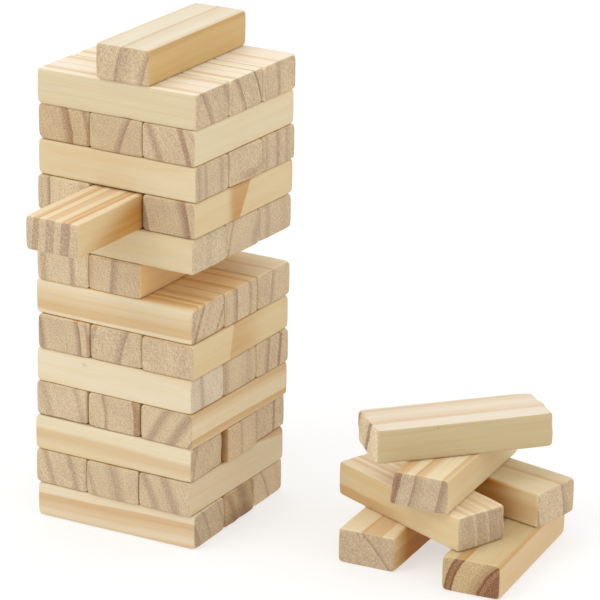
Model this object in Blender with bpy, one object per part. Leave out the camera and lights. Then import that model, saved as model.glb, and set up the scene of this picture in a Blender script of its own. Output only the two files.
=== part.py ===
"""Tumbling tower of wooden blocks, standing part way through a game.

Thirteen crossed layers of three blocks, with one block pulled half out and one taken away, one block
laid on top, and six more heaped on the ground beside it. Metres, +Z up. The origin is the middle of
the tower's foot, on the ground. Front is -Y. Odd layers run left to right, even ones front to back.
"""

import math

import bmesh
import bpy
from mathutils import Matrix, Vector

# One block
BLOCK_LENGTH = 0.152
BLOCK_WIDTH = 0.0497
BLOCK_HEIGHT = 0.02955
EDGE_RADIUS = 0.0015
EDGE_SEGMENTS = 2

# How the blocks are laid
ROW_PITCH = BLOCK_LENGTH / 3    # three blocks side by side are as wide as one is long
LAYER_PITCH = 0.02985           # leaves 0.3 mm of air between one layer and the next
LAYER_COUNT = 13
ROWS_LEFT_TO_RIGHT = {"front": -1, "middle": 0, "back": 1}
ROWS_FRONT_TO_BACK = {"left": -1, "middle": 0, "right": 1}

# How far play has nudged each layer off the tower's axis: to the right, to the back, and its turn
MILLIMETRE = 0.001
LAYER_NUDGES = {
    1: (-3.0, -1.0, 2.0),
    2: (-2.5, -2.5, 0.5),
    3: (-2.5, -0.5, 0.9),
    4: (-1.3, -0.7, 0.1),
    5: (-0.5, -0.5, -0.4),
    6: (0.5, -1.0, 0.4),
    7: (0.5, 0.5, -0.4),
    8: (0.8, 0.3, 0.2),
    9: (0.8, 0.8, -1.3),
    10: (1.5, 1.0, -0.5),
    11: (2.2, 2.1, -0.6),
    12: (1.6, 2.4, -0.6),
    13: (2.5, 1.5, -0.3),
}
END_STEP = 0.0007               # the most that a block's end stands proud of its neighbours'
END_STEP_TURNS = (2.4, 1.7)     # spreads the steps unevenly over the layers and the rows

# Single blocks that play has shoved out of line: along their length, and sideways
BLOCK_NUDGES = {
    (3, "front"): (0.0, -1.5),
    (3, "middle"): (2.4, 1.2),
    (3, "back"): (-1.2, 0.7),
    (4, "left"): (0.0, -1.2),
    (4, "right"): (0.0, 1.2),
    (7, "front"): (-2.0, 0.0),
    (8, "left"): (0.0, -0.7),
    (8, "middle"): (0.0, -1.4),
}

# The blocks that a player has moved
TAKEN_AWAY = (8, "right")
PULLED_OUT = (10, "middle")
PULLED_OUT_BY = 0.0895          # towards the front
PULLED_OUT_HEIGHT = 0.0284      # it came out because it is a little thin
TOP_BLOCK = {"centre": (0.008, 0.0), "turn": 91.0}

# The heap: each block's centre on the ground plan, its turn from left-to-right, and its level
HEAP = {
    "heap_ground_left": {"centre": (0.2055, 0.0470), "turn": 94.5, "level": 0},
    "heap_ground_right": {"centre": (0.3008, 0.0434), "turn": 96.0, "level": 0},
    "heap_second_front": {"centre": (0.2313, 0.0265), "turn": -21.5, "level": 1},
    "heap_second_back": {"centre": (0.2548, 0.0916), "turn": -10.5, "level": 1},
    "heap_third": {"centre": (0.2509, 0.0495), "turn": 95.0, "level": 2},
    "heap_top": {"centre": (0.2505, 0.0476), "turn": 47.5, "level": 3},
}

# Planed pine, in linear light
PINE_TONES = ((0.80, 0.62, 0.38), (0.76, 0.56, 0.32), (0.84, 0.68, 0.46))
PINE_ROUGHNESS = 0.6


def clear_scene():
    for thing in list(bpy.data.objects):
        bpy.data.objects.remove(thing)


def pine_material(name, tone):
    """Bare planed pine in one of its tones."""
    material = bpy.data.materials.new(f"{name}_pine")
    material.use_nodes = True
    shader = material.node_tree.nodes["Principled BSDF"]
    shader.inputs["Base Color"].default_value = (*PINE_TONES[tone % len(PINE_TONES)], 1.0)
    shader.inputs["Roughness"].default_value = PINE_ROUGHNESS
    shader.inputs["Metallic"].default_value = 0.0
    return material


def block_mesh(name, height):
    """A block along X with rounded edges, centred on the origin in plan and standing on it."""
    shape = bmesh.new()
    bmesh.ops.create_cube(shape, size=1.0)
    bmesh.ops.scale(shape, vec=(BLOCK_LENGTH, BLOCK_WIDTH, height), verts=shape.verts)
    bmesh.ops.bevel(
        shape,
        geom=shape.edges[:],
        offset=EDGE_RADIUS,
        segments=EDGE_SEGMENTS,
        profile=0.5,
        affect="EDGES",
    )
    bmesh.ops.translate(shape, vec=(0.0, 0.0, height / 2), verts=shape.verts)
    mesh = bpy.data.meshes.new(name)
    shape.to_mesh(mesh)
    shape.free()
    return mesh


def add_block(name, centre, level, turn, tone, height=BLOCK_HEIGHT):
    """A block on its own origin, which lies under its middle, on the line that it slides or lifts along."""
    block = bpy.data.objects.new(name, block_mesh(name, height))
    block.location = (*centre, level * LAYER_PITCH)
    block.rotation_euler = (0.0, 0.0, math.radians(turn))
    block.data.materials.append(pine_material(name, tone))
    bpy.context.scene.collection.objects.link(block)
    return block


def end_step(layer, row):
    """How far this block stands out along its length, so that no two ends in a layer are quite flush."""
    by_layer, by_row = END_STEP_TURNS
    return END_STEP * math.sin(by_layer * layer + by_row * row)


def add_tower_block(layer, side, row):
    """One block of a layer, shifted and turned as its whole layer is."""
    across_x, across_y, turn = LAYER_NUDGES[layer]
    runs_front_to_back = layer % 2 == 0
    shoved_out, shoved_across = BLOCK_NUDGES.get((layer, side), (0.0, 0.0))
    out = end_step(layer, row) + shoved_out * MILLIMETRE
    across = row * ROW_PITCH + shoved_across * MILLIMETRE
    height = BLOCK_HEIGHT
    if (layer, side) == PULLED_OUT:
        out = -PULLED_OUT_BY
        height = PULLED_OUT_HEIGHT
    place = Vector((across, out)) if runs_front_to_back else Vector((out, across))
    place.rotate(Matrix.Rotation(math.radians(turn), 2))
    centre = place + Vector((across_x, across_y)) * MILLIMETRE
    block_turn = turn + 90.0 if runs_front_to_back else turn
    add_block(f"layer_{layer:02d}_{side}", centre, layer - 1, block_turn, layer + row, height)


def add_tower():
    for layer in range(1, LAYER_COUNT + 1):
        rows = ROWS_LEFT_TO_RIGHT if layer % 2 else ROWS_FRONT_TO_BACK
        for side, row in rows.items():
            if (layer, side) != TAKEN_AWAY:
                add_tower_block(layer, side, row)


def add_loose_blocks():
    add_block("top_block", TOP_BLOCK["centre"], LAYER_COUNT, TOP_BLOCK["turn"], 2)
    for tone, (name, place) in enumerate(HEAP.items()):
        add_block(name, place["centre"], place["level"], place["turn"], tone)


clear_scene()
add_tower()
add_loose_blocks()
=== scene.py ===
"""Looks of a tumbling tower of pine blocks, part way through a game, with loose blocks heaped beside it.

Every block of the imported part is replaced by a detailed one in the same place: planed pine with softened,
slightly knocked edges, its own growth rings, sawn end grain and fibres. The rings run right through a
block, so a band that crosses its end carries on as a stripe along its sides.
"""

import math
import random
from functools import reduce
from typing import NamedTuple

import bmesh
import bpy
from mathutils import Matrix, Vector, noise


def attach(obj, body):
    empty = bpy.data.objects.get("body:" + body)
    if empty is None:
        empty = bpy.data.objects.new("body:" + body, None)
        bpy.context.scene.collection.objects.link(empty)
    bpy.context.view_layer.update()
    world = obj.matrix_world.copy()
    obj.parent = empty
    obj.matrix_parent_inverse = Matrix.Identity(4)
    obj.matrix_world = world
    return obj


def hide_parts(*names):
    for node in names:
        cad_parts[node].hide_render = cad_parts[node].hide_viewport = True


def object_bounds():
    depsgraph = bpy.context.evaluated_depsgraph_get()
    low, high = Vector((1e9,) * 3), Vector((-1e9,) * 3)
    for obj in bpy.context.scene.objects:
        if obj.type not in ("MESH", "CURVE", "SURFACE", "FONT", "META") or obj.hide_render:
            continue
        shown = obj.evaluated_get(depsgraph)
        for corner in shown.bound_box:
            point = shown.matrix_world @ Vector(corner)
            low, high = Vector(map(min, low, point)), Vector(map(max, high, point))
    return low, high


MM = 0.001
WHITE = (1.0, 1.0, 1.0, 1.0)
BLACK = (0.0, 0.0, 0.0, 1.0)

# ---------------------------------------------------------------------------------------------
# The camera, turned about the middle of the whole object
# ---------------------------------------------------------------------------------------------
VIEW_AZIMUTH = 30.12
VIEW_ELEVATION = 19.50
VIEW_ROLL = 0.71
VIEW_DISTANCE = 2.6
VIEW_LENS = 194.17
VIEW_SENSOR = 36.0
VIEW_CLIP = (0.05, 40.0)
AIM_POINT = Vector((0.140, -0.017, 0.2133))

# ---------------------------------------------------------------------------------------------
# Colours of planed pine, in linear light. The pale tones given to tops hold painted light from above, and
# amber holds painted light on faces in shade
# ---------------------------------------------------------------------------------------------
SIDE_TONES = {
    # white, ivory, milk, linen and straw are the tones of tops: paler than the sides as painted light from
    # above
    "white": (0.86, 0.77, 0.61),
    "ivory": (0.79, 0.71, 0.57),
    "milk": (0.84, 0.735, 0.535),
    "linen": (0.75, 0.67, 0.52),
    "straw": (0.81, 0.69, 0.47),
    "pale": (0.73, 0.62, 0.44),
    "cream": (0.70, 0.58, 0.38),
    "sand": (0.64, 0.53, 0.35),
    "buff": (0.69, 0.54, 0.32),
    "yellow": (0.67, 0.53, 0.30),
    # amber is brighter and warmer than the wood: painted light on faces that lie in shade in the slot under
    # layer 9
    "amber": (0.87, 0.645, 0.36),
    "honey": (0.62, 0.425, 0.185),
    "khaki": (0.56, 0.45, 0.255),
}
# this tint also darkens the stains and the patches of painted shade on some sides
BAND_AND_SHADE_TINT = (0.68, 0.38, 0.08)      # what a stripe of late wood leaves of the light on a planed side
HONEY_TINT = (0.93, 0.79, 0.56)     # and what a streak of honey leaves of it
END_LIGHT = (0.70, 0.55, 0.34)
END_DARK = (0.43, 0.31, 0.205)
END_BAND_GREY = (0.22, 0.125, 0.095)
END_BAND_WARM = (0.20, 0.070, 0.028)
# the brown of knots, also used for darker patches and for painted shade
KNOT_AND_SHADE_BROWN = (0.16, 0.06, 0.03)

# ---------------------------------------------------------------------------------------------
# The grain of each block, seen at the end that faces the front or the right.
#   tone   of its sides, or of its sides and of its top; the top tone, paler on most blocks, is painted light from above
#   lean   how far its rings lean to the right at the bottom, in degrees
#   heart  how far the heart of the tree lies to the left of the block, in metres (- to the right)
#   warmth of the bands on its ends, from 0 for grey-brown to 1 for red-brown
#   bands  dark late wood: place across the end (0 left, 1 right), width in mm, how dark on the end,
#          which side is sharp (L, R, B for both, - for neither) and how dark along the sides
# ---------------------------------------------------------------------------------------------
GRAIN = {
    "layer_01_front": ("pale", 25, 0.12, 0.3, [
        (-0.23, 1.5, 0.3, "-", 0.35), (-0.13, 1.8, 0.3, "-", 0.35), (0.035, 6.0, 0.35, "R", 0.45),
        (0.43, 2.5, 0.42, "R", 0.4), (0.90, 2.5, 0.38, "R", 0.4)]),
    "layer_01_middle": ("cream", 20, 0.12, 0.45, [
        (0.24, 5.0, 0.45, "-", 0.4), (0.66, 9.0, 0.5, "-", 0.5), (1.0, 4.0, 0.35, "-", 0.3)]),
    "layer_01_back": ("cream", 25, 0.12, 0.3, [(0.40, 2.5, 0.42, "R", 0.4), (0.85, 6.0, 0.12, "-", 0.2)]),
    "layer_02_left": ("cream", 17, 0.15, 0.2, [(0.28, 4.0, 0.38, "-", 0.4), (0.75, 4.0, 0.38, "-", 0.4)]),
    "layer_02_middle": ("cream", 15, 0.15, 0.1, [(0.10, 3.0, 0.28, "-", 0.3), (0.59, 8.0, 0.32, "-", 0.4)]),
    "layer_02_right": ("sand", 23, 0.15, 0.1, [(0.24, 5.0, 0.36, "-", 0.4), (0.62, 6.0, 0.36, "-", 0.4)]),
    "layer_03_front": ("pale", -17, -0.15, 0.2, [
        (0.02, 1.5, 0.2, "-", 0.38), (0.07, 3.0, 0.1, "-", 0.15), (0.12, 2.5, 0.4, "R", 0.3)]),
    "layer_03_middle": ("cream", 0, 0.2, 0.1, [(0.45, 3.0, 0.3, "-", 0.4), (0.95, 3.0, 0.3, "-", 0.3)]),
    "layer_03_back": ("cream", -3, 0.2, 0.7, [(0.64, 4.0, 0.50, "B", 0.5)]),
    "layer_04_left": ("cream", 15, 0.15, 0.1, [(0.21, 6.0, 0.28, "-", 0.3), (0.87, 4.0, 0.3, "-", 0.3)]),
    "layer_04_middle": ("cream", 6, 0.07, 1.0, [(0.36, 3.0, 0.46, "L", 0.5), (0.97, 6.5, 0.56, "L", 0.7)]),
    "layer_04_right": ("cream", -34, -0.2, 0.2, [
        (0.33, 5.0, 0.42, "-", 0.4), (0.76, 6.0, 0.48, "-", 0.42), (1.13, 4.0, 0.5, "L", 0.5),
        (1.42, 2.0, 0.3, "-", 0.55)]),
    "layer_05_front": ("pale", 3, 0.3, 0.1, [(0.33, 4.0, 0.36, "-", 0.35)]),
    "layer_05_middle": ("cream", 0, 0.3, 0.1, [(0.05, 5.0, 0.3, "-", 0.3), (0.75, 6.0, 0.2, "-", 0.3)]),
    "layer_05_back": ("cream", -8, -0.2, 0.5, [(0.31, 4.4, 0.5, "R", 0.4), (0.70, 4.0, 0.62, "B", 0.5)]),
    "layer_06_left": ("cream", 8, 0.1, 0.5, [
        (0.07, 4.5, 0.5, "-", 0.4), (0.80, 4.0, 0.62, "R", 0.5), (0.98, 2.0, 0.4, "-", 0.3)]),
    "layer_06_middle": ("cream", -15, -0.15, 0.1, [
        (0.03, 3.0, 0.4, "-", 0.3), (0.62, 5.0, 0.46, "R", 0.4)]),
    "layer_06_right": ("yellow", 5, 0.3, 0.0, [(0.30, 10.0, 0.08, "-", 0.1), (0.8, 8.0, 0.07, "-", 0.1)]),
    # the amber tops of layer_07_front and layer_07_middle are painted light in the slot under layer 9
    "layer_07_front": ("pale/amber", -31, -0.2, 0.6, [
        (0.015, 6.5, 0.22, "R", 0.45), (0.21, 4.0, 0.56, "R", 0.6), (0.45, 5.0, 0.12, "-", 0.4),
        (0.90, 2.0, 0.5, "R", 0.5)]),
    "layer_07_middle": ("cream/amber", 0, 0.2, 0.5, [
        (0.30, 6.0, 0.5, "R", 0.5), (0.75, 3.0, 0.42, "-", 0.4), (0.97, 2.0, 0.4, "-", 0.5)]),
    "layer_07_back": ("cream/straw", -7, 0.2, 0.2, [
        (0.12, 12.0, 0.10, "-", 0.05), (0.42, 4.4, 0.38, "L", 0.30)]),
    "layer_08_left": ("cream", 2, 0.3, 0.1, [(0.14, 4.0, 0.4, "-", 0.3), (0.70, 3.5, 0.46, "-", 0.4)]),
    # its amber side is painted light on the face in shade inside the slot
    "layer_08_middle": ("amber/cream", -3, 0.3, 0.1, [
        (0.03, 4.0, 0.3, "-", 0.3), (0.50, 5.5, 0.46, "L", 0.4), (1.04, 12.0, 0.05, "-", 0.30)]),
    "layer_09_front": ("sand", 0, 0.3, 0.0, [(0.47, 6.0, 0.16, "-", 0.2)]),
    "layer_09_middle": ("cream", -20, -0.1, 0.1, [(0.10, 1.8, 0.5, "L", 0.4), (0.90, 6.0, 0.25, "-", 0.3)]),
    "layer_09_back": ("cream", 0, 0.3, 0.1, [(0.25, 5.0, 0.3, "-", 0.3), (0.75, 6.0, 0.12, "-", 0.2)]),
    "layer_10_left": ("cream", 0, 0.3, 0.8, [(0.07, 8.0, 0.18, "-", 0.2), (0.235, 3.0, 0.55, "R", 0.5)]),
    "layer_10_middle": ("yellow/straw", -5, 0.3, 0.2, [
        (0.20, 5.6, 0.38, "B", 0.36), (0.24, 1.6, 0.10, "-", 0.55), (0.475, 7.6, 0.34, "B", 0.27),
        (0.40, 1.4, 0.10, "-", 0.40), (0.70, 1.6, 0.10, "-", 0.60), (0.755, 7.0, 0.42, "B", 0.38),
        (0.82, 2.0, 0.48, "-", 0.62)]),
    "layer_10_right": ("yellow", 13, 0.12, 0.5, [(0.01, 7.0, 0.60, "R", 0.4), (0.83, 6.5, 0.68, "R", 0.6)]),
    "layer_11_front": ("cream", 2, 0.3, 0.0, [
        (0.10, 5.0, 0.32, "-", 0.2), (0.30, 3.0, 0.3, "-", 0.3), (0.77, 4.0, 0.3, "-", 0.3)]),
    "layer_11_middle": ("cream", -64, 0.12, 0.6, [(1.22, 7.0, 0.20, "-", 0.3)]),
    "layer_11_back": ("cream", 0, 0.3, 0.2, [
        (0.10, 3.0, 0.28, "-", 0.3), (0.45, 4.0, 0.38, "-", 0.4), (0.75, 3.0, 0.28, "-", 0.3)]),
    "layer_12_left": ("cream", 11, 0.10, 1.0, [(0.60, 6.0, 0.58, "R", 0.6), (0.98, 4.0, 0.42, "L", 0.4)]),
    "layer_12_middle": ("cream", -19, -0.15, 0.5, [(0.635, 4.6, 0.50, "R", 0.5)]),
    "layer_12_right": ("cream", 20, 0.12, 0.6, [(0.25, 4.4, 0.42, "-", 0.3), (0.83, 5.0, 0.50, "B", 0.4)]),
    "layer_13_front": ("sand/white", 28, 0.15, 0.2, [
        (0.37, 4.6, 0.48, "L", 0.40), (0.68, 1.5, 0.06, "-", 0.20), (0.99, 4.0, 0.36, "-", 0.34)]),
    "layer_13_middle": ("pale/white", 26, 0.15, 0.5, [
        (0.34, 4.2, 0.50, "R", 0.48), (0.64, 1.5, 0.08, "-", 0.20), (0.88, 1.8, 0.66, "B", 0.52)]),
    "layer_13_back": ("pale/white", 2, 0.3, 0.3, [
        (0.12, 2.0, 0.06, "-", 0.14), (0.45, 4.0, 0.36, "-", 0.26), (1.0, 3.0, 0.3, "-", 0.28)]),
    "top_block": ("honey/linen", -15, -0.15, 0.1, [
        (0.0, 2.5, 0.2, "-", 0.1), (0.42, 3.0, 0.5, "L", 0.40), (0.52, 8.0, 0.24, "L", 0.12),
        (0.90, 3.5, 0.42, "R", 0.22)]),
    "heap_ground_left": ("yellow/milk", 42, 0.3, 0.1, [
        (0.70, 1.7, 0.50, "B", 0.5), (0.875, 12.0, 0.1, "B", 0.36)]),
    "heap_ground_right": ("buff/yellow", -27.5, -0.054, 1.0, [
        (0.092, 2.0, 0.95, "L", 0.45), (0.146, 3.5, 0.70, "-", 0.45), (0.198, 2.2, 0.95, "R", 0.60),
        (0.70, 1.8, 0.35, "L", 0.40), (0.74, 2.2, 1.00, "B", 0.55), (0.98, 20.0, 0.90, "-", 0.20)]),
    "heap_second_front": ("buff/milk", 8, 0.2, 0.1, [
        (0.17, 17.0, 0.26, "R", 0.08), (0.27, 3.0, 0.10, "-", 0.36), (0.50, 11.0, 0.28, "B", 0.22),
        (0.44, 2.0, 0.10, "-", 0.38), (0.83, 17.0, 0.38, "L", 0.24), (0.74, 2.4, 0.10, "-", 0.42),
        (0.92, 2.0, 0.42, "-", 0.34)]),
    "heap_second_back": ("yellow/cream", 11, 0.2, 0.3, [
        (0.0, 2.0, 0.4, "-", 0.2), (0.72, 5.0, 0.44, "L", 0.42), (0.90, 8.0, 0.12, "-", 0.10)]),
    "heap_third": ("buff/straw", -12, 0.2, 0.6, [
        (0.03, 10.0, 0.72, "R", 0.52), (0.16, 3.0, 0.06, "-", 0.44), (0.39, 2.6, 0.52, "L", 0.58),
        (0.46, 5.0, 0.16, "-", 0.38), (0.90, 5.5, 0.50, "L", 0.45)]),
    "heap_top": ("khaki/ivory", -24, 0.3, 1.0, [
        (0.0, 3.0, 0.6, "-", 0.30), (0.08, 7.0, 0.1, "-", 0.16), (0.55, 5.6, 0.62, "B", 0.26),
        (0.45, 7.0, 0.1, "-", 0.16)]),
}

# Tints for the sawn ends that are paler, or darker and browner, than the rest
END_TINTS = {
    "layer_01_back": (1.04, 1.03, 1.02),
    # darker: painted shade near the floor, where the heap shades the foot of the tower
    "layer_01_front": (0.84, 0.83, 0.81),
    # browner wood, and darker as painted shade near the floor
    "layer_01_middle": (0.80, 0.75, 0.60),
    "layer_03_front": (0.95, 0.94, 0.93),
    "layer_03_middle": (1.03, 1.01, 0.98),
    "layer_04_left": (1.04, 1.05, 1.07),
    "layer_05_front": (1.09, 1.17, 1.30),
    "layer_08_left": (1.06, 1.08, 1.08),
    "layer_08_middle": (1.04, 1.02, 1.00),
    "layer_09_front": (1.02, 1.05, 1.06),
    "layer_10_left": (1.10, 1.12, 1.12),
    "layer_10_right": (0.93, 0.91, 0.88),
    "layer_12_left": (0.92, 0.88, 0.82),
    "layer_12_middle": (0.95, 0.94, 0.90),
    "heap_ground_left": (0.88, 0.86, 0.85),
    "heap_ground_right": (0.91, 0.85, 0.70),
    "heap_second_front": (1.00, 1.00, 0.99),
    "heap_third": (0.89, 0.90, 0.92),
    "heap_top": (1.31, 1.40, 1.52),
}

RIGHT, LEFT = 1, -1


class StainAndShade(NamedTuple):
    """A warmer patch on one side of a block, placed in mm from its middle towards the end that is seen.
    Some are stains in the wood, others are painted shade, as marked below.
    """
    side: int
    strength: float
    start: float = -90.0    # where it begins, and where it is full: past the hidden end unless given
    full: float = -80.0
    fading: float = 90.0    # where it starts to fade, and where it is gone: past the seen end unless given
    gone: float = 95.0
    slant: float = 0.0      # how much its start slants with height
    low: float = -30.0      # the heights that it fills: all of them unless given
    high: float = 30.0


STAINS_AND_SHADE = {
    # painted shade on the side that is seen in the gap beside layer_01_front
    "layer_01_middle": StainAndShade(LEFT, 0.70),
    "layer_02_right": StainAndShade(RIGHT, 0.50, start=-112.0, full=-128.0, slant=-5.87, low=4.0),
    # part honey wood, part painted shade on the side seen in the gap beside layer_03_front, under layer 4
    "layer_03_middle": StainAndShade(LEFT, 0.80),
    "layer_06_right": StainAndShade(RIGHT, 0.42, start=17.0, full=15.6, fading=4.0, gone=-44.0, slant=0.25),
    # painted shade on the pulled block's side towards the tower, in the corner under layer 11 beside
    # layer_10_right
    "layer_10_middle": StainAndShade(RIGHT, 0.86, start=70.0, full=-8.0, slant=2.2),
    "layer_10_right": StainAndShade(RIGHT, 0.72, start=-1.0, full=0.8, fading=14.5, gone=27.0, slant=0.59),
    # painted shade on the far part of this side, under heap_second_front
    "heap_ground_left": StainAndShade(RIGHT, 1.25, fading=36.0, gone=78.0),
    "heap_second_front": StainAndShade(LEFT, 0.62, fading=-50.0, gone=24.0, high=-5.0),
    # painted shade at the far end of this side, under heap_third and heap_second_front
    "heap_second_back": StainAndShade(LEFT, 1.05, fading=22.0, gone=66.0),
}

# Small knots and specks, and darker patches as marked: centre and reach in mm (along, across to the right,
# up), and how dark
SPOTS = {
    # darkens the lower part of its seen end
    "layer_01_middle": [((76.0, -4.0, -17.0), (6.0, 42.0, 20.0), 0.48)],
    # painted shade on the side seen in the gap, along with the stain there
    "layer_03_middle": [((72.0, -26.0, 0.0), (30.0, 3.0, 40.0), 0.30)],
    "layer_05_front": [
        ((-28.0, -24.5, 8.0), (4.2, 3.0, 2.8), 0.16),
        ((-28.5, -24.5, 8.4), (1.8, 3.0, 1.2), 0.30)],
    "layer_10_left": [
        ((75.0, 8.4, 12.0), (3.0, 0.9, 0.9), 0.75),
        ((75.0, 19.0, 12.0), (4.0, 5.0, 5.0), 0.18)],
    "layer_11_middle": [((76.0, 4.0, -9.0), (6.0, 18.0, 5.0), 0.24)],
    "heap_top": [((24.0, 24.5, 12.0), (1.1, 2.0, 0.8), 0.55)],
}

# Corners that the tree's bark has left rounded: which long edge (across, up), the end it is near and how
# far it runs from there in mm (0 = the whole length), and its radius in mm
WANEY_EDGES = {
    "layer_03_front": [(1, -1, 1, 9.0, 3.4)],
    "layer_07_front": [(-1, 1, 1, 34.0, 4.2)],
    "layer_11_middle": [(1, 1, 1, 8.0, 3.2), (-1, -1, 1, 8.0, 3.0)],
    "layer_13_front": [(-1, 1, -1, 12.0, 2.8)],
    "heap_second_front": [(1, 1, 1, 10.0, 3.6)],
    "heap_third": [(-1, 1, 1, 0.0, 3.0), (-1, -1, 1, 12.0, 3.6)],
    "heap_top": [(-1, 1, -1, 9.0, 5.5), (1, 1, -1, 7.0, 4.5), (-1, -1, 1, 9.0, 5.0)],
}

# Blocks whose left side leans: how far in at the top and how far out at the foot, in mm
LEANING_SIDES = {"heap_third": (2.2, 2.8)}

# Blocks that lie a little askew in their row, by how many degrees
ASKEW = {"layer_10_middle": 0.6}


# ---------------------------------------------------------------------------------------------
# Where each block lies
# ---------------------------------------------------------------------------------------------
UP = Vector((0.0, 0.0, 1.0))
TOWARDS_VIEWER = Vector((0.5, -0.87, 0.0))      # tells a block's seen end from its hidden one
UPRIGHT_TILT = 0.1                              # the normal of an upright face points up less than this


def block_place(node):
    """A block's centre, its axes (along to the end that is seen, across, up) and its size, from its CAD."""
    mesh = node.data
    sides = [p for p in mesh.polygons if abs(p.normal.z) < UPRIGHT_TILT]
    across = max(sides, key=lambda p: p.area).normal.copy()
    across.z = 0.0
    across.normalize()
    along = Vector((across.y, -across.x, 0.0))
    if along.dot(TOWARDS_VIEWER) < 0:
        along.negate()
    axes = (along, UP.cross(along), UP)
    spans = []
    for axis in axes:
        reach = [v.co.dot(axis) for v in mesh.vertices]
        spans.append((min(reach), max(reach)))
    centre = sum((axis * (low + high) / 2 for axis, (low, high) in zip(axes, spans)), Vector())
    size = Vector(high - low for low, high in spans)
    return centre, axes, size


# ---------------------------------------------------------------------------------------------
# The shape of a block, worked out in mm
# ---------------------------------------------------------------------------------------------
EDGE_STEPS = (0.0, 0.6, 1.3, 2.1, 3.2, 5.0, 8.0)        # in from an edge, where the mesh is close
INNER_STEP = {"along": 9.5, "across": 8.0, "up": 5.0}   # and between the mesh lines further in
MIDDLE_CLEARANCE = 1.0                                  # the close lines stop this far from the middle
EDGE_RADIUS = 1.9
RADIUS_SPREAD = (-0.3, 0.35)                            # from block to block
RADIUS_WANDER = 0.35                                    # along a block's edges
CORNER_EXTRA = 1.0
CORNER_REACH = 5.0
DENTS_PER_BLOCK = 7
DENT_REACH = (1.5, 4.5)
DENT_DEPTH = (0.4, 1.3)
END_DENT_SHARE = 0.5                                    # the share of them on the edges of an end
WANEY_WOBBLE = 0.25                                     # how uneven a rounded corner is
LEAN_WOBBLE = 0.3                                       # and a leaning side
SURFACE_WAVE = 0.05                                     # the most that the faces dip
SHIFT_REACH = 90                                        # each block's noise is read from within this
NO_LENGTH = 1e-6

# How quickly each kind of unevenness changes, per mm
RADIUS_PACE = 0.05
WANEY_PACE = 0.12
LEAN_PACE = 0.06
WAVE_PACE = 0.035


def stations(size_mm, step):
    """Where the mesh lines lie along one direction of a block."""
    half = size_mm / 2
    near = [s for s in EDGE_STEPS if s < half - MIDDLE_CLEARANCE]
    inner = half - near[-1]
    count = max(1, round(2 * inner / step))
    middle = [-inner + 2 * inner * i / count for i in range(1, count)]
    return [-half + s for s in near] + middle + [half - s for s in reversed(near)]


def lattice(xs, ys, zs):
    """The skin of a box as a closed mesh of quads."""
    points, faces, index = [], [], {}

    def point(i, j, k):
        if (i, j, k) not in index:
            index[i, j, k] = len(points)
            points.append(Vector((xs[i], ys[j], zs[k])))
        return index[i, j, k]

    def quad(*places):
        faces.append(tuple(point(*place) for place in places))

    ni, nj, nk = len(xs) - 1, len(ys) - 1, len(zs) - 1
    for i in range(ni):
        for j in range(nj):
            quad((i, j, 0), (i, j + 1, 0), (i + 1, j + 1, 0), (i + 1, j, 0))
            quad((i, j, nk), (i + 1, j, nk), (i + 1, j + 1, nk), (i, j + 1, nk))
    for i in range(ni):
        for k in range(nk):
            quad((i, 0, k), (i + 1, 0, k), (i + 1, 0, k + 1), (i, 0, k + 1))
            quad((i, nj, k), (i, nj, k + 1), (i + 1, nj, k + 1), (i + 1, nj, k))
    for j in range(nj):
        for k in range(nk):
            quad((0, j, k), (0, j, k + 1), (0, j + 1, k + 1), (0, j + 1, k))
            quad((ni, j, k), (ni, j + 1, k), (ni, j + 1, k + 1), (ni, j, k + 1))
    return points, faces


def draw_dents(half, rng):
    """Knocks on the edges of a block: where each is, how far it reaches and how deep it goes."""
    dents = []
    for _ in range(DENTS_PER_BLOCK):
        place = Vector((rng.uniform(-1, 1), rng.choice((-1, 1)), rng.choice((-1, 1))))
        if rng.random() < END_DENT_SHARE:
            place = Vector((rng.choice((-1, 1)), rng.uniform(-1, 1), rng.choice((-1, 1))))
        where = Vector(c * h for c, h in zip(place, half))
        dents.append((where, rng.uniform(*DENT_REACH), rng.uniform(*DENT_DEPTH)))
    return dents


def edge_radius(p, half, radius, dents, waney, shift):
    """The radius of the block's edges near a point."""
    r = radius + RADIUS_WANDER * noise.noise(p * RADIUS_PACE + shift)
    from_corner = Vector(h - abs(c) for c, h in zip(p, half)).length
    r += CORNER_EXTRA * math.exp(-(from_corner / CORNER_REACH) ** 2)
    for where, reach, depth in dents:
        r += depth * math.exp(-((p - where).length / reach) ** 2)
    for side_y, side_z, end, run, large in waney:
        if p.y * side_y > 0 and p.z * side_z > 0:
            share = 1.0
            if run:
                share = math.exp(-(max(0.0, half.x - p.x * end) / run) ** 2)
            wobble = 1.0 + WANEY_WOBBLE * noise.noise(p * WANEY_PACE + shift)
            r = max(r, r + (large * wobble - r) * share)
    return r


def rounded(p, half, r):
    """A point of the box moved in to where the edges' radius puts it."""
    core = Vector(max(-(h - r), min(h - r, c)) for c, h in zip(p, half))
    out = p - core
    length = out.length
    if length < NO_LENGTH:
        return p
    return core + out * min(r, length) / length


def leaned(p, half, at_top, at_foot):
    """A point moved sideways as the left side of the block leans."""
    rise = 0.5 + 0.5 * p.z / half.z
    lean = (at_top * rise - at_foot * (1.0 - rise)) * (1.0 + LEAN_WOBBLE * noise.noise(p * LEAN_PACE))
    moved = p.copy()
    moved.y += lean * (-p.y / half.y) ** 3
    return moved


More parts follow.
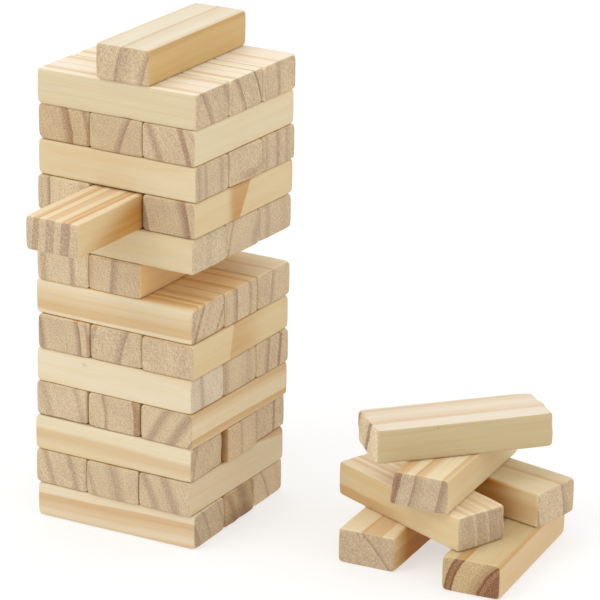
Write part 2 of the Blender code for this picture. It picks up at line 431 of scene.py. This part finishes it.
def block_mesh(name, size, rng):
    """Planed pine block in its own frame: X along towards the seen end, Y across, Z up, centred."""
    half = size / MM / 2
    points, faces = lattice(
        stations(2 * half.x, INNER_STEP["along"]),
        stations(2 * half.y, INNER_STEP["across"]),
        stations(2 * half.z, INNER_STEP["up"]),
    )
    shift = Vector([rng.uniform(0, SHIFT_REACH) for _ in range(3)])
    radius = EDGE_RADIUS + rng.uniform(*RADIUS_SPREAD)
    dents = draw_dents(half, rng)
    waney = WANEY_EDGES.get(name, [])
    placed = []
    for p in points:
        p = rounded(p, half, edge_radius(p, half, radius, dents, waney, shift))
        if name in LEANING_SIDES and p.y < 0:
            p = leaned(p, half, *LEANING_SIDES[name])
        wave = SURFACE_WAVE * (0.5 + 0.5 * noise.noise(p * WAVE_PACE + shift))
        p = p - Vector((p.x / half.x, p.y / half.y, p.z / half.z)) * wave
        placed.append(p * MM)
    mesh = bpy.data.meshes.new(name)
    mesh.from_pydata(placed, [], faces)
    mesh.validate()
    mesh.polygons.foreach_set("use_smooth", [True] * len(mesh.polygons))
    mesh.update()
    return mesh


# ---------------------------------------------------------------------------------------------
# The wood
# ---------------------------------------------------------------------------------------------
RING_REACH = 50.0 * MM      # how far to each side of a block's middle its rings are laid out
RING_WANDER = 2.2 * MM      # how unevenly a ring runs
RING_QUIVER = 1.1 * MM      # and how ragged it is
RING_DRIFT = 0.018          # the most that the rings drift sideways along a block, as a slope

# A late-wood band
SHARP_FADE = 0.35 * MM      # over how far its sharp side fades
SOFT_FADE = 0.60            # over how far its soft side does, as a share of its width
SHARP_CORE = 0.95           # how far its darkest part goes to a sharp side, as a share of the half width,
SOFT_CORE = 0.45            # to a soft side,
LOPSIDED_CORE = -0.30       # and to a soft side that is opposite a sharp one

# The scale of each kind of noise: features per metre along, across and up
SLOW_RINGS = (7.0, 22.0, 22.0)
FINE_RINGS = (14.0, 260.0, 260.0)
FIBRES = (26.0, 1000.0, 1000.0)
STREAKS = (5.0, 150.0, 150.0)
CLOUDS = (16.0, 34.0, 34.0)
SPECKS = (500.0, 950.0, 950.0)
SAW_MARKS = (200.0, 110.0, 1300.0)
STAIN_AND_SHADE_EDGE = (30.0, 30.0, 30.0)
SPOT_EDGE = (400.0, 500.0, 500.0)
RINGLETS = 52.0             # how many fine rings there are over the whole ring reach
SAW_SLANT = 0.9             # of the saw marks, in radians

# What noise does: the range that is read, and the range that it becomes
STREAK_WARMS = (0.42, 0.75, 0.0, 0.30)
CLOUD_WARMS = (0.40, 0.80, 0.0, 0.14)
RINGLET_WARMS = (0.48, 0.75, 0.0, 0.22)
FIBRE_BREAKS_BAND = (0.25, 0.75, 0.72, 1.18)
STREAK_BREAKS_STAIN_AND_SHADE = (0.3, 0.7, 0.80, 1.1)
FIBRE_LIGHTENS = (0.25, 0.75, 0.95, 1.04)
SPECK_LIGHTENS_END = (0.36, 0.72, 0.02, 0.92)
SAW_LIGHTENS_END = (0.36, 0.64, 0.0, 0.24)
CLOUD_LIGHTENS_END = (0.3, 0.7, -0.12, 0.12)
SPECK_BREAKS_BAND = (0.36, 0.64, 1.16, 0.76)
RINGLET_DARKENS_END = (0.50, 0.75, 0.0, 0.10)
FIBRE_ROUGHNESS = (0.25, 0.75, 0.52, 0.66)

# How far in from a face one look turns into another
END_STARTS = (1.3 * MM, 0.3 * MM)       # from a planed side to a sawn end
# tops and undersides within this take the top tone, painted light from above
LIT_TOP_STARTS = (1.0 * MM, 0.3 * MM)       # from a side to the top or the underside
# stains here and below take in the patches of painted shade too
SIDE_STARTS = (4.0 * MM, 1.0 * MM)      # from the inside to the side that a stain lies on

SIDE_BAND_GAIN = 1.15                   # how much stronger a band is on a planed side than its figure
STAIN_AND_SHADE_WANDER = 6.0 * MM                 # how unevenly a stain ends
STAIN_AND_SHADE_FADE = 1.5                        # over how many mm it fades, either side of its lowest and highest
SPOT_WANDER = 0.8                       # how uneven a spot is, as a share of its reach
SPOT_CORE = 0.35                        # and how much of its reach is at its darkest
END_ROUGHER = 0.14
RELIEF = {"fibre": 0.5, "band": 0.5, "speck": 1.3, "saw": 0.8}      # shares of the bump's depth
PINE_IOR = 1.45
PINE_SPECULAR = 0.32
BUMP_STRENGTH = 0.35
BUMP_DEPTH = 0.25 * MM
TONE_SPREAD = (0.985, 1.015)            # from block to block
SEED_REACH = 50                         # each block's pattern is read from within this


class Nodes:
    """Short hand for building a node tree."""

    def __init__(self, tree):
        self.tree = tree

    def add(self, kind, **settings):
        node = self.tree.nodes.new(kind)
        for key, value in settings.items():
            setattr(node, key, value)
        return node

    def put(self, socket, value):
        if isinstance(value, bpy.types.NodeSocket):
            self.tree.links.new(value, socket)
        else:
            socket.default_value = value

    def math(self, operation, *values, clamp=False):
        node = self.add("ShaderNodeMath", operation=operation, use_clamp=clamp)
        for socket, value in zip(node.inputs, values):
            self.put(socket, value)
        return node.outputs[0]

    def vector(self, operation, a, b):
        node = self.add("ShaderNodeVectorMath", operation=operation)
        self.put(node.inputs[0], a)
        self.put(node.inputs[1], b)
        return node.outputs["Value"] if operation == "DOT_PRODUCT" else node.outputs["Vector"]

    def parts(self, vector):
        """The X, Y and Z outputs of a vector."""
        node = self.add("ShaderNodeSeparateXYZ")
        self.put(node.inputs[0], vector)
        return node.outputs

    def spread(self, value, low, high, to_low=0.0, to_high=1.0, smooth=False):
        """A value from one range carried over to another."""
        node = self.add("ShaderNodeMapRange", interpolation_type="SMOOTHSTEP" if smooth else "LINEAR")
        for socket, v in zip(node.inputs[:5], (value, low, high, to_low, to_high)):
            self.put(socket, v)
        return node.outputs[0]

    def mix(self, factor, a, b, blend="MIX"):
        node = self.add("ShaderNodeMix", data_type="RGBA", blend_type=blend)
        self.put(node.inputs[0], factor)
        self.put(node.inputs[6], a)
        self.put(node.inputs[7], b)
        return node.outputs[2]

    def noise(self, vector, scales, detail=2.0, rough=0.5, seed=None):
        """Noise that is drawn out: scales are features per metre along, across and up."""
        place = self.vector("MULTIPLY", vector, scales)
        if seed is not None:
            place = self.vector("ADD", place, seed)
        node = self.add("ShaderNodeTexNoise", noise_dimensions="3D")
        self.put(node.inputs["Vector"], place)
        node.inputs["Scale"].default_value = 1.0
        node.inputs["Detail"].default_value = detail
        node.inputs["Roughness"].default_value = rough
        return node.outputs["Fac"]

    def wander(self, noise_value, reach):
        """Noise turned into a shift to either side, by up to half the reach."""
        return self.math("MULTIPLY", self.math("SUBTRACT", noise_value, 0.5), reach)


def group(name, inputs, outputs):
    """An empty node group with these sockets, and its helper, input node and output node."""
    tree = bpy.data.node_groups.new(name, "ShaderNodeTree")
    for label, kind in inputs:
        tree.interface.new_socket(label, in_out="INPUT", socket_type="NodeSocket" + kind)
    for label, kind in outputs:
        tree.interface.new_socket(label, in_out="OUTPUT", socket_type="NodeSocket" + kind)
    n = Nodes(tree)
    return tree, n, n.add("NodeGroupInput"), n.add("NodeGroupOutput")


def ring_group():
    """How far a point lies across the rings from the middle of the block, as 0 to 1 over the ring reach."""
    tree, n, given, result = group(
        "pine_rings",
        [("Across", "Vector"), ("Upright", "Vector"), ("Bow", "Float"), ("Shift", "Float"),
         ("Seed", "Vector")],
        [("Place", "Float")],
    )
    point = n.add("ShaderNodeTexCoord").outputs["Object"]
    place = n.vector("DOT_PRODUCT", point, given.outputs["Across"])
    upright = n.vector("DOT_PRODUCT", point, given.outputs["Upright"])
    bow = n.math("MULTIPLY", n.math("MULTIPLY", upright, upright), given.outputs["Bow"])
    place = n.math("ADD", n.math("ADD", place, bow), given.outputs["Shift"])
    slow = n.noise(point, SLOW_RINGS, detail=1.0, seed=given.outputs["Seed"])
    fine = n.noise(point, FINE_RINGS, seed=given.outputs["Seed"])
    place = n.math("ADD", place, n.wander(slow, RING_WANDER))
    place = n.math("ADD", place, n.wander(fine, RING_QUIVER))
    n.put(result.inputs["Place"], n.spread(place, -RING_REACH, RING_REACH))
    return tree


def planed_side(n, given, is_lit_top, fibre, streak, cloud, ringlet):
    """Cream with finer honey streaks, tops paler as painted light from above, and the late wood, the stains
    and the patches of painted shade as orange-tan stripes.
    """
    warm = n.math("ADD", n.spread(streak, *STREAK_WARMS), n.spread(cloud, *CLOUD_WARMS))
    warm = n.math("ADD", warm, n.spread(ringlet, *RINGLET_WARMS), clamp=True)
    # tops and undersides take the top tone: painted light from above
    plain = n.mix(is_lit_top, given.outputs["Side"], given.outputs["Top"])
    honey = n.mix(1.0, plain, (*HONEY_TINT, 1.0), blend="MULTIPLY")
    side = n.mix(warm, plain, honey)
    band = n.math("MULTIPLY", given.outputs["Side Band"], n.spread(fibre, *FIBRE_BREAKS_BAND))
    band = n.math("MULTIPLY", band, SIDE_BAND_GAIN, clamp=True)
    side = n.mix(band, side, (*BAND_AND_SHADE_TINT, 1.0), blend="MULTIPLY")
    # stains, and patches of painted shade on some sides, in the band tint
    stain_and_shade = n.math("MULTIPLY", given.outputs["StainAndShade"], n.spread(streak, *STREAK_BREAKS_STAIN_AND_SHADE), clamp=True)
    side = n.mix(stain_and_shade, side, (*BAND_AND_SHADE_TINT, 1.0), blend="MULTIPLY")
    light = n.spread(fibre, *FIBRE_LIGHTENS)
    shade = n.add("ShaderNodeCombineXYZ")
    for socket in shade.inputs:
        n.put(socket, light)
    return n.mix(1.0, side, shade.outputs[0], blend="MULTIPLY")


def sawn_end(n, given, speck, saw, cloud, ringlet):
    """Pinkish grey with pale specks and faint slanting saw marks, and the bands dark and speckled."""
    light = n.math("ADD", n.spread(speck, *SPECK_LIGHTENS_END), n.spread(saw, *SAW_LIGHTENS_END))
    light = n.math("ADD", light, n.spread(cloud, *CLOUD_LIGHTENS_END), clamp=True)
    end = n.mix(light, (*END_DARK, 1.0), (*END_LIGHT, 1.0))
    end = n.mix(1.0, end, given.outputs["End"], blend="MULTIPLY")
    grainy = n.spread(speck, *SPECK_BREAKS_BAND)
    band = n.math("MULTIPLY", given.outputs["End Band"], grainy, clamp=True)
    band = n.math("ADD", band, n.spread(ringlet, *RINGLET_DARKENS_END), clamp=True)
    return n.mix(band, end, given.outputs["Band"])


def wood_group(half_length):
    """Colour, roughness and relief of a point on the block, from how dark its ring is there."""
    tree, n, given, result = group(
        "pine_wood",
        [("Place", "Float"), ("End Band", "Float"), ("Side Band", "Float"), ("StainAndShade", "Float"),
         ("Spot", "Float"), ("Half Height", "Float"), ("Side", "Color"), ("Top", "Color"),
         ("End", "Color"), ("Band", "Color"), ("Seed", "Vector")],
        [("Color", "Color"), ("Roughness", "Float"), ("Height", "Float")],
    )
    seed = given.outputs["Seed"]
    point = n.add("ShaderNodeTexCoord").outputs["Object"]
    here = n.parts(point)
    side_stops, end_starts = (half_length - before for before in END_STARTS)
    is_end = n.spread(n.math("ABSOLUTE", here["X"]), side_stops, end_starts, smooth=True)
    below_top = n.math("SUBTRACT", given.outputs["Half Height"], n.math("ABSOLUTE", here["Z"]))
    # the tops and undersides, where the painted light from above goes
    is_lit_top = n.spread(below_top, *LIT_TOP_STARTS, smooth=True)

    fibre = n.noise(point, FIBRES, detail=3.0, rough=0.6, seed=seed)
    streak = n.noise(point, STREAKS, detail=3.0, rough=0.55, seed=seed)
    cloud = n.noise(point, CLOUDS, seed=seed)
    speck = n.noise(point, SPECKS, detail=1.5, rough=0.6, seed=seed)
    turned = n.add("ShaderNodeVectorRotate", rotation_type="X_AXIS")
    n.put(turned.inputs["Vector"], point)
    turned.inputs["Angle"].default_value = SAW_SLANT
    saw = n.noise(turned.outputs[0], SAW_MARKS, seed=seed)
    ringlets = n.add("ShaderNodeTexNoise", noise_dimensions="1D")
    n.put(ringlets.inputs["W"], n.math("MULTIPLY", given.outputs["Place"], RINGLETS))
    ringlets.inputs["Scale"].default_value = 1.0
    ringlets.inputs["Detail"].default_value = 2.0
    ringlet = ringlets.outputs["Fac"]

    side = planed_side(n, given, is_lit_top, fibre, streak, cloud, ringlet)
    end = sawn_end(n, given, speck, saw, cloud, ringlet)
    colour = n.mix(is_end, side, end)
    # knots, specks and darker patches, some of them painted shade
    colour = n.mix(given.outputs["Spot"], colour, (*KNOT_AND_SHADE_BROWN, 1.0))
    n.put(result.inputs["Color"], colour)

    rough = n.spread(fibre, *FIBRE_ROUGHNESS)
    rough = n.math("ADD", rough, n.math("MULTIPLY", is_end, END_ROUGHER))
    n.put(result.inputs["Roughness"], rough)
    fibre_relief = n.math("MULTIPLY", fibre, RELIEF["fibre"])
    band_relief = n.math("MULTIPLY", given.outputs["Side Band"], RELIEF["band"])
    speck_relief = n.math("MULTIPLY", speck, RELIEF["speck"])
    saw_relief = n.math("MULTIPLY", saw, RELIEF["saw"])
    side_relief = n.math("ADD", fibre_relief, band_relief)
    end_relief = n.math("ADD", speck_relief, saw_relief)
    n.put(result.inputs["Height"], n.mix(is_end, side_relief, end_relief))
    return tree


def band_side(width, sharp, opposite_sharp):
    """How far a band is at its darkest to one side of its middle, and how far it goes in all."""
    half = width / 2
    if sharp:
        return half * SHARP_CORE, half + SHARP_FADE
    core = LOPSIDED_CORE if opposite_sharp else SOFT_CORE
    return half * core, half + width * SOFT_FADE


def band_strength(keys, place):
    """How strong a band is at a place across the rings: it rises, stays and falls between its keys."""
    begins, full, fading, gone = keys
    if place <= begins or place >= gone:
        return 0.0
    if place < full:
        return (place - begins) / (full - begins)
    if place > fading:
        return (gone - place) / (gone - fading)
    return 1.0


def band_profile(bands, lean, width):
    """Ramp stops (place, end darkness, side darkness) for late-wood bands that lean."""
    across = width * math.cos(lean)
    shapes = []
    for place, wide, end_dark, sharp, side_dark in bands:
        middle = (place - 0.5) * across
        sharp_left, sharp_right = sharp in "LB", sharp in "RB"
        core_left, reach_left = band_side(wide * MM, sharp_left, sharp_right)
        core_right, reach_right = band_side(wide * MM, sharp_right, sharp_left)
        keys = (middle - reach_left, middle - core_left, middle + core_right, middle + reach_right)
        shapes.append((keys, end_dark, side_dark))
    stops = []
    for place in sorted({key for keys, _, _ in shapes for key in keys}):
        if abs(place) < RING_REACH:
            end = max(band_strength(keys, place) * end_dark for keys, end_dark, _ in shapes)
            side = max(band_strength(keys, place) * side_dark for keys, _, side_dark in shapes)
            stops.append(((place + RING_REACH) / (2 * RING_REACH), end, side))
    return stops


def late_wood(n, place, stops):
    """How dark the late wood is at a place across the rings, on the ends and along the sides."""
    ramp = n.add("ShaderNodeValToRGB")
    ramp.color_ramp.interpolation = "LINEAR"
    n.put(ramp.inputs[0], place)
    elements = ramp.color_ramp.elements
    for element, at in zip(elements, (0.0, 1.0)):
        element.position = at
        element.color = BLACK
    for at, end, side in stops:
        elements.new(at).color = (end, side, 0.0, 1.0)
    darkness = n.add("ShaderNodeSeparateColor")
    n.put(darkness.inputs[0], ramp.outputs["Color"])
    return darkness.outputs[0], darkness.outputs[1]


def stain_and_shade_strength(n, point, stain_and_shade, half_width, seed):
    """How strong a block's warmer patch, stain and painted shade alike, is at a point."""
    wander = n.wander(n.noise(point, STAIN_AND_SHADE_EDGE, seed=seed), STAIN_AND_SHADE_WANDER)
    slanted = n.math("ADD", n.vector("DOT_PRODUCT", point, (1.0, 0.0, stain_and_shade.slant)), wander)
    strength = n.spread(slanted, stain_and_shade.start * MM, stain_and_shade.full * MM, 0.0, stain_and_shade.strength, smooth=True)
    here = n.parts(point)
    far = n.math("ADD", here["X"], wander)
    tall = n.math("ADD", here["Z"], wander)
    low, above_low = (stain_and_shade.low - STAIN_AND_SHADE_FADE) * MM, (stain_and_shade.low + STAIN_AND_SHADE_FADE) * MM
    high, above_high = (stain_and_shade.high - STAIN_AND_SHADE_FADE) * MM, (stain_and_shade.high + STAIN_AND_SHADE_FADE) * MM
    outer = n.math("MULTIPLY", here["Y"], float(stain_and_shade.side))
    inside, outside = (half_width - inwards for inwards in SIDE_STARTS)
    for share in (
        n.spread(far, stain_and_shade.fading * MM, stain_and_shade.gone * MM, 1.0, 0.0, smooth=True),
        n.spread(tall, low, above_low, smooth=True),
        n.spread(tall, high, above_high, 1.0, 0.0, smooth=True),
        n.spread(outer, inside, outside),
    ):
        strength = n.math("MULTIPLY", strength, share)
    return strength


def spot_darkness(n, point, spot, seed):
    """How dark one spot is at a point: knots, specks and darker patches alike."""
    centre, reach, dark = spot
    from_middle = n.vector("SUBTRACT", point, tuple(c * MM for c in centre))
    scaled = n.vector("DIVIDE", from_middle, tuple(r * MM for r in reach))
    away = n.add("ShaderNodeVectorMath", operation="LENGTH")
    n.put(away.inputs[0], scaled)
    wander = n.wander(n.noise(point, SPOT_EDGE, seed=seed), SPOT_WANDER)
    far = n.math("ADD", away.outputs["Value"], wander)
    return n.spread(far, SPOT_CORE, 1.0, dark, 0.0, smooth=True)


def wood_material(name, size, groups, rng):
    """The block's own pine: its tones, its rings and what marks it has."""
    tone, lean, heart, warmth, bands = GRAIN[name]
    lean = math.radians(lean)
    material = bpy.data.materials.new("pine_" + name)
    material.use_nodes = True
    n = Nodes(material.node_tree)
    shader = material.node_tree.nodes["Principled BSDF"]
    seed = [rng.uniform(0, SEED_REACH) for _ in range(3)]
    drift = rng.uniform(-RING_DRIFT, RING_DRIFT)

    rings = n.add("ShaderNodeGroup", node_tree=groups["rings"])
    rings.inputs["Across"].default_value = (drift, math.cos(lean), math.sin(lean))
    rings.inputs["Upright"].default_value = (0.0, -math.sin(lean), math.cos(lean))
    rings.inputs["Bow"].default_value = 0.5 / heart
    rings.inputs["Shift"].default_value = -drift * size.x / 2
    rings.inputs["Seed"].default_value = seed
    place = rings.outputs["Place"]
    end_band, side_band = late_wood(n, place, band_profile(bands, lean, size.y))

    wood = n.add("ShaderNodeGroup", node_tree=groups["wood"])
    n.put(wood.inputs["Place"], place)
    n.put(wood.inputs["End Band"], end_band)
    n.put(wood.inputs["Side Band"], side_band)
    wood.inputs["Seed"].default_value = seed
    # the top tone, paler on most blocks, is painted light from above
    for socket, face_tone in zip(("Side", "Top"), tone.split("/") * 2):
        base = [c * rng.uniform(*TONE_SPREAD) for c in SIDE_TONES[face_tone]]
        wood.inputs[socket].default_value = (*base, 1.0)
    wood.inputs["End"].default_value = (*END_TINTS.get(name, (1.0, 1.0, 1.0)), 1.0)
    band = [grey + (warm - grey) * warmth for grey, warm in zip(END_BAND_GREY, END_BAND_WARM)]
    wood.inputs["Band"].default_value = (*band, 1.0)
    wood.inputs["Half Height"].default_value = size.z / 2
    wood.inputs["StainAndShade"].default_value = 0.0
    wood.inputs["Spot"].default_value = 0.0

    point = n.add("ShaderNodeTexCoord").outputs["Object"]
    # stains and patches of painted shade
    if name in STAINS_AND_SHADE:
        n.put(wood.inputs["StainAndShade"], stain_and_shade_strength(n, point, STAINS_AND_SHADE[name], size.y / 2, seed))
    spots = [spot_darkness(n, point, spot, seed) for spot in SPOTS.get(name, [])]
    if spots:
        n.put(wood.inputs["Spot"], reduce(lambda a, b: n.math("MAXIMUM", a, b), spots))

    n.put(shader.inputs["Base Color"], wood.outputs["Color"])
    n.put(shader.inputs["Roughness"], wood.outputs["Roughness"])
    shader.inputs["Metallic"].default_value = 0.0
    shader.inputs["IOR"].default_value = PINE_IOR
    shader.inputs["Specular IOR Level"].default_value = PINE_SPECULAR
    bump = n.add("ShaderNodeBump")
    bump.inputs["Strength"].default_value = BUMP_STRENGTH
    bump.inputs["Distance"].default_value = BUMP_DEPTH
    n.put(bump.inputs["Height"], wood.outputs["Height"])
    n.put(shader.inputs["Normal"], bump.outputs["Normal"])
    return material


# ---------------------------------------------------------------------------------------------
# The studio
# ---------------------------------------------------------------------------------------------
FLOOR_REACH = 9.0
FLOOR_SEGMENTS = 96
FLOOR_DROP = 0.3 * MM
FLOOR_TONE = 0.45
FLOOR_MOTTLE = (0.985, 0.985, 0.98)     # what the floor's darker clouds leave of its light
FLOOR_CLOUDS = (1.5, 1.5, 1.5)
FLOOR_GLOW = 0.54
FLOOR_ROUGHNESS = 0.9
FLOOR_SPECULAR = 0.1
WORLD_STRENGTH = 1.02
LIGHTS = {
    "key": {"azimuth": -28, "elevation": 48, "distance": 2.6, "size": 1.6, "power": 14.0},
    "right fill": {"azimuth": 84, "elevation": 16, "distance": 2.4, "size": 1.4, "power": 2.0},
}


def outwards(azimuth, elevation):
    """The direction of something that stands this far round to the right of the front, and this far up."""
    a, e = math.radians(azimuth), math.radians(elevation)
    return Vector((math.sin(a) * math.cos(e), -math.cos(a) * math.cos(e), math.sin(e)))


def add_floor():
    """Pale paper that glows a little, so that only a faint shade is left on it."""
    shape = bmesh.new()
    bmesh.ops.create_circle(shape, cap_ends=True, radius=FLOOR_REACH, segments=FLOOR_SEGMENTS)
    mesh = bpy.data.meshes.new("floor")
    shape.to_mesh(mesh)
    shape.free()
    floor = bpy.data.objects.new("floor", mesh)
    floor.location.z = -FLOOR_DROP
    bpy.context.scene.collection.objects.link(floor)
    material = bpy.data.materials.new("floor_paper")
    material.use_nodes = True
    n = Nodes(material.node_tree)
    shader = material.node_tree.nodes["Principled BSDF"]
    point = n.add("ShaderNodeTexCoord").outputs["Object"]
    cloud = n.noise(point, FLOOR_CLOUDS)
    pale = (FLOOR_TONE, FLOOR_TONE, FLOOR_TONE, 1.0)
    clouded = (*(FLOOR_TONE * left for left in FLOOR_MOTTLE), 1.0)
    n.put(shader.inputs["Base Color"], n.mix(cloud, pale, clouded))
    shader.inputs["Roughness"].default_value = FLOOR_ROUGHNESS
    shader.inputs["Specular IOR Level"].default_value = FLOOR_SPECULAR
    shader.inputs["Emission Color"].default_value = WHITE
    shader.inputs["Emission Strength"].default_value = FLOOR_GLOW
    mesh.materials.append(material)


def add_light(name, azimuth, elevation, distance, size, power, aim):
    """A round soft light that looks at the aim from this direction and distance."""
    back = outwards(azimuth, elevation)
    data = bpy.data.lights.new(name, "AREA")
    data.shape = "DISK"
    data.size = size
    data.energy = power
    light = bpy.data.objects.new(name, data)
    light.location = aim + back * distance
    light.rotation_mode = "QUATERNION"
    light.rotation_quaternion = (-back).to_track_quat("-Z", "Y")
    bpy.context.scene.collection.objects.link(light)


def add_studio(aim):
    """White surroundings and the two lights."""
    world = bpy.data.worlds.new("studio")
    world.use_nodes = True
    background = world.node_tree.nodes["Background"]
    background.inputs["Color"].default_value = WHITE
    background.inputs["Strength"].default_value = WORLD_STRENGTH
    bpy.context.scene.world = world
    for name, light in LIGHTS.items():
        add_light(name, **light, aim=aim)
    bpy.context.scene.view_settings.view_transform = "Standard"


def add_camera():
    """The camera at its distance from the point that it looks at, rolled a little."""
    azimuth, roll = math.radians(VIEW_AZIMUTH), math.radians(VIEW_ROLL)
    back = outwards(VIEW_AZIMUTH, VIEW_ELEVATION)
    right = Vector((math.cos(azimuth), math.sin(azimuth), 0.0))
    up = back.cross(right)
    turned_right = right * math.cos(roll) + up * math.sin(roll)
    turned_up = up * math.cos(roll) - right * math.sin(roll)
    data = bpy.data.cameras.new("camera")
    data.lens = VIEW_LENS
    data.sensor_width = VIEW_SENSOR
    data.clip_start, data.clip_end = VIEW_CLIP
    camera = bpy.data.objects.new("camera", data)
    place = Matrix((turned_right, turned_up, back)).transposed().to_4x4()
    place.translation = AIM_POINT + back * VIEW_DISTANCE
    camera.matrix_world = place
    bpy.context.scene.collection.objects.link(camera)
    bpy.context.scene.camera = camera


# ---------------------------------------------------------------------------------------------
# The whole scene
# ---------------------------------------------------------------------------------------------
FIRST_RANDOM = 1000     # each block has its own random numbers, which start from here and its own number

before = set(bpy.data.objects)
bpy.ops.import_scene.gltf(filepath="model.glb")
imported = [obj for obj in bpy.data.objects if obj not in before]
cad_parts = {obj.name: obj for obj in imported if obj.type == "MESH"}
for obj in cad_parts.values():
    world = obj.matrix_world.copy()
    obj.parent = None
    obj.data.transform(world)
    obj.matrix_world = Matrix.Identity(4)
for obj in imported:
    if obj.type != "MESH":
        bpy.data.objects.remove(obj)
cad_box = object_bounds()
places = {name: block_place(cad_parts[name]) for name in sorted(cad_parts)}
block_lengths = [size.x for centre, axes, size in places.values()]      # which are all alike
groups = {"rings": ring_group(), "wood": wood_group(block_lengths[0] / 2)}
for number, (name, (centre, axes, size)) in enumerate(places.items()):
    rng = random.Random(FIRST_RANDOM + number)
    block = bpy.data.objects.new("pine_" + name, block_mesh(name, size, rng))
    place = Matrix(axes).transposed().to_4x4()
    place.translation = centre
    block.matrix_world = place @ Matrix.Rotation(math.radians(ASKEW.get(name, 0.0)), 4, "Z")
    bpy.context.scene.collection.objects.link(block)
    block.data.materials.append(wood_material(name, size, groups, rng))
    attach(block, name)
    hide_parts(name)

add_floor()
add_studio((cad_box[0] + cad_box[1]) / 2)
add_camera()
